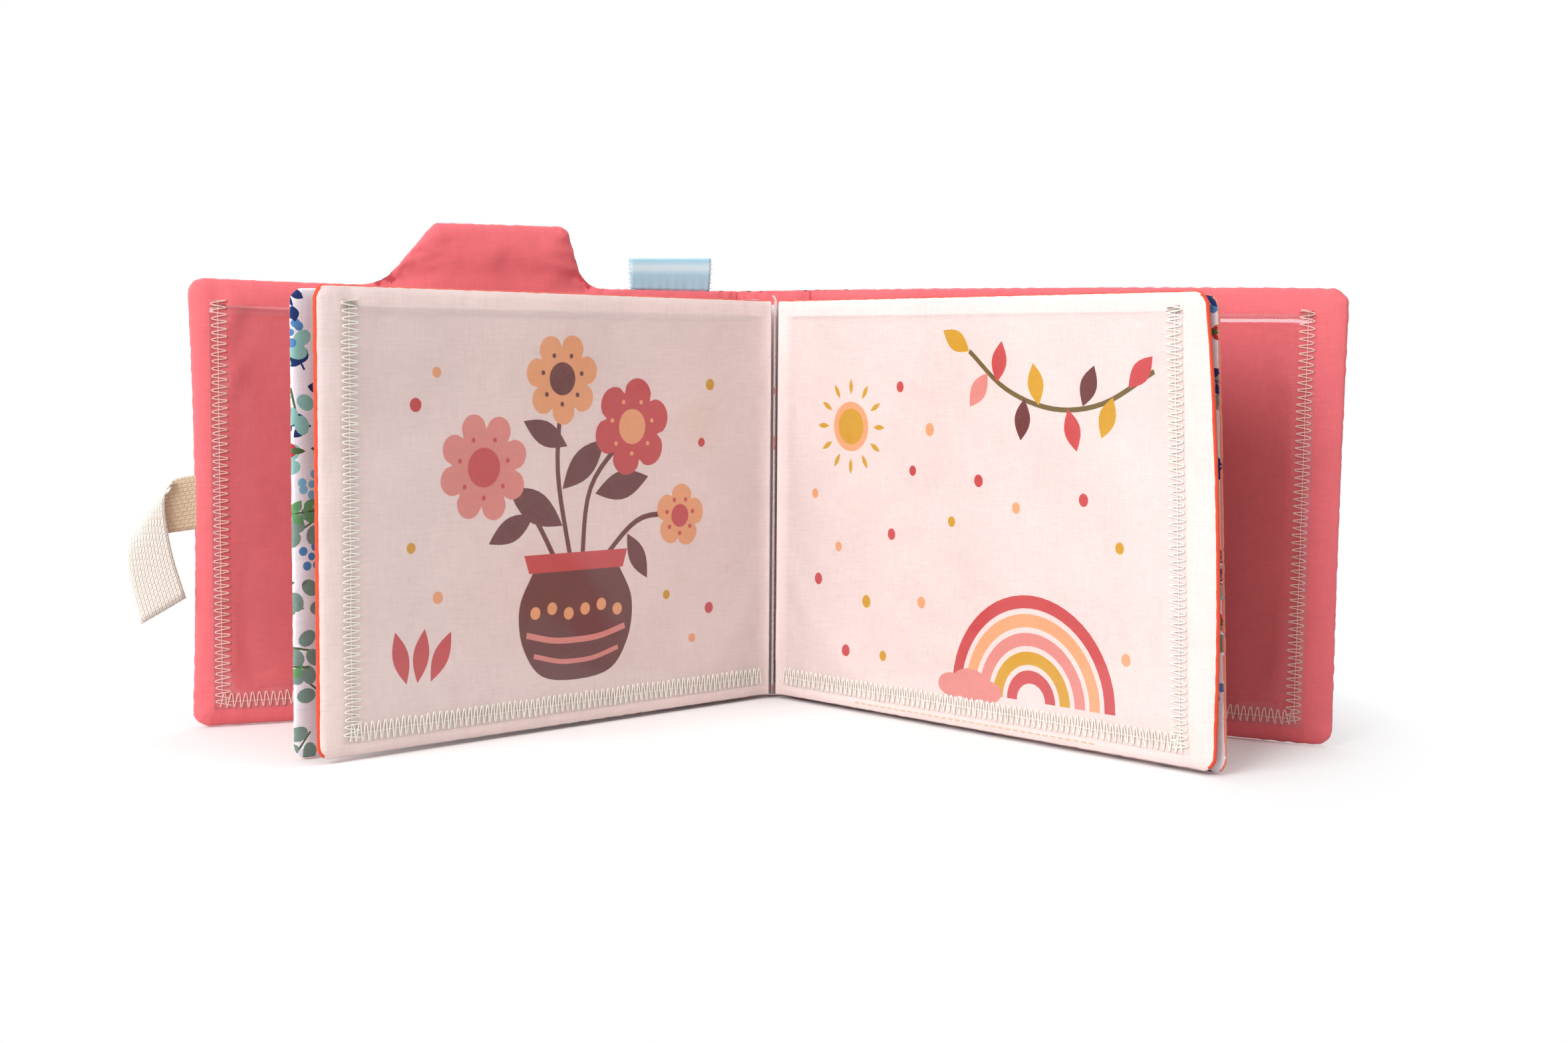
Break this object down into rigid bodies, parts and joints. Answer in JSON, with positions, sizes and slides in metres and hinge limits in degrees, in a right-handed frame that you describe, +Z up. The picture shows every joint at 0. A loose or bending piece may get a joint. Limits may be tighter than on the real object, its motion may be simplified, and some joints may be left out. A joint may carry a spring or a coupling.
{
  "type": "soft photo album",
  "caption": "Soft padded cloth photo album standing open, with a humped cover, padded leaves, clear photo pockets, a webbing closing strap and a ribbon tag.",
  "frame": {"origin": "foot of the sewn gutter, in the middle of the spine, on the surface that the album stands on", "axes": "+Z up the spine, +X to the reader's right along the spine band, -Y towards the reader"},
  "size_m": [0.3919, 0.1487, 0.1672],
  "materials": {
    "lining": "plain woven cotton",
    "cover_cloth": "plain woven cotton",
    "pale_print": "printed woven cotton",
    "orange_cloth": "plain woven cotton",
    "white_print": "printed woven cotton",
    "salmon_cloth": "plain woven cotton",
    "wadding": "soft polyester wadding",
    "window": "clear soft vinyl",
    "webbing": "cotton webbing",
    "ribbon": "satin ribbon",
    "hook_and_loop": "hook-and-loop tape"
  },
  "bodies": {
    "spine": {"spine_lining": "lining", "spine_outer": "cover_cloth", "spine_wadding": "wadding", "outer_sheet_gutter": "white_print", "inner_sheet_ridge": "pale_print"},
    "front_cover": {"front_cover_lining": "lining", "front_cover_outer": "cover_cloth", "front_cover_wadding": "wadding", "front_cover_window": "window"},
    "back_cover": {"back_cover_lining": "lining", "back_cover_outer": "cover_cloth", "back_cover_wadding": "wadding", "back_cover_window": "window", "back_loop_patch": "hook_and_loop"},
    "outer_left_leaf": {"outer_left_leaf_front": "white_print", "outer_left_leaf_back": "salmon_cloth", "outer_left_leaf_wadding": "wadding", "outer_left_leaf_front_window": "window", "outer_left_leaf_back_window": "window"},
    "inner_left_leaf": {"inner_left_leaf_front": "pale_print", "inner_left_leaf_back": "orange_cloth", "inner_left_leaf_wadding": "wadding", "inner_left_leaf_front_window": "window", "inner_left_leaf_back_window": "window"},
    "outer_right_leaf": {"outer_right_leaf_front": "white_print", "outer_right_leaf_back": "salmon_cloth", "outer_right_leaf_wadding": "wadding", "outer_right_leaf_front_window": "window", "outer_right_leaf_back_window": "window"},
    "inner_right_leaf": {"inner_right_leaf_front": "pale_print", "inner_right_leaf_back": "orange_cloth", "inner_right_leaf_wadding": "wadding", "inner_right_leaf_front_window": "window", "inner_right_leaf_back_window": "window"},
    "strap_root": {"strap_root": "webbing"},
    "strap_tail": {"strap_tail": "webbing", "strap_hook_patch": "hook_and_loop"},
    "ribbon_tag": {"ribbon_tag": "ribbon"}
  },
  "joints": [
    {"name": "front_cover_fold", "type": "hinge", "parent": "spine", "child": "front_cover", "pos_m": [-0.0135, 0.00285, 0.073], "axis": [0, 0, -1], "range_deg": [-65, 59]},
    {"name": "back_cover_fold", "type": "hinge", "parent": "spine", "child": "back_cover", "pos_m": [0.0135, 0.00285, 0.073], "axis": [0, 0, 1], "range_deg": [-60, 64]},
    {"name": "outer_left_leaf_fold", "type": "hinge", "parent": "spine", "child": "outer_left_leaf", "pos_m": [-0.0066, -0.00205, 0.071], "axis": [0, 0, -1], "range_deg": [-46, 41.76]},
    {"name": "outer_right_leaf_fold", "type": "hinge", "parent": "spine", "child": "outer_right_leaf", "pos_m": [0.0066, -0.00205, 0.071], "axis": [0, 0, 1], "range_deg": [-43, 45.87]},
    {"name": "inner_left_leaf_turn", "type": "hinge", "parent": "outer_left_leaf", "child": "inner_left_leaf", "pos_m": [-0.00354, -0.00522, 0.072], "axis": [0, 0, 1], "range_deg": [-2.2, 80]},
    {"name": "inner_right_leaf_turn", "type": "hinge", "parent": "outer_right_leaf", "child": "inner_right_leaf", "pos_m": [0.00338, -0.00505, 0.072], "axis": [0, 0, -1], "range_deg": [0, 80]},
    {"name": "strap_swing", "type": "hinge", "parent": "front_cover", "child": "strap_root", "pos_m": [-0.18923, -0.0791, 0.0742], "axis": [0, 0, 1], "range_deg": [-60, 90]},
    {"name": "strap_unfold", "type": "hinge", "parent": "strap_root", "child": "strap_tail", "pos_m": [-0.20361, -0.08685, 0.0742], "axis": [-0.5826, -0.2717, -0.766], "range_deg": [0, 165]},
    {"name": "tag_tilt", "type": "hinge", "parent": "front_cover", "child": "ribbon_tag", "pos_m": [-0.03788, -0.00852, 0.146], "axis": [0.9063, 0.4226, 0], "range_deg": [-65, 65], "stiffness_Nm_per_rad": 0.0002}
  ],
  "couplings": [
    {"joint": "outer_left_leaf_fold", "follows": "front_cover_fold", "ratio": 0.70769},
    {"joint": "outer_right_leaf_fold", "follows": "back_cover_fold", "ratio": 0.71667}
  ]
}
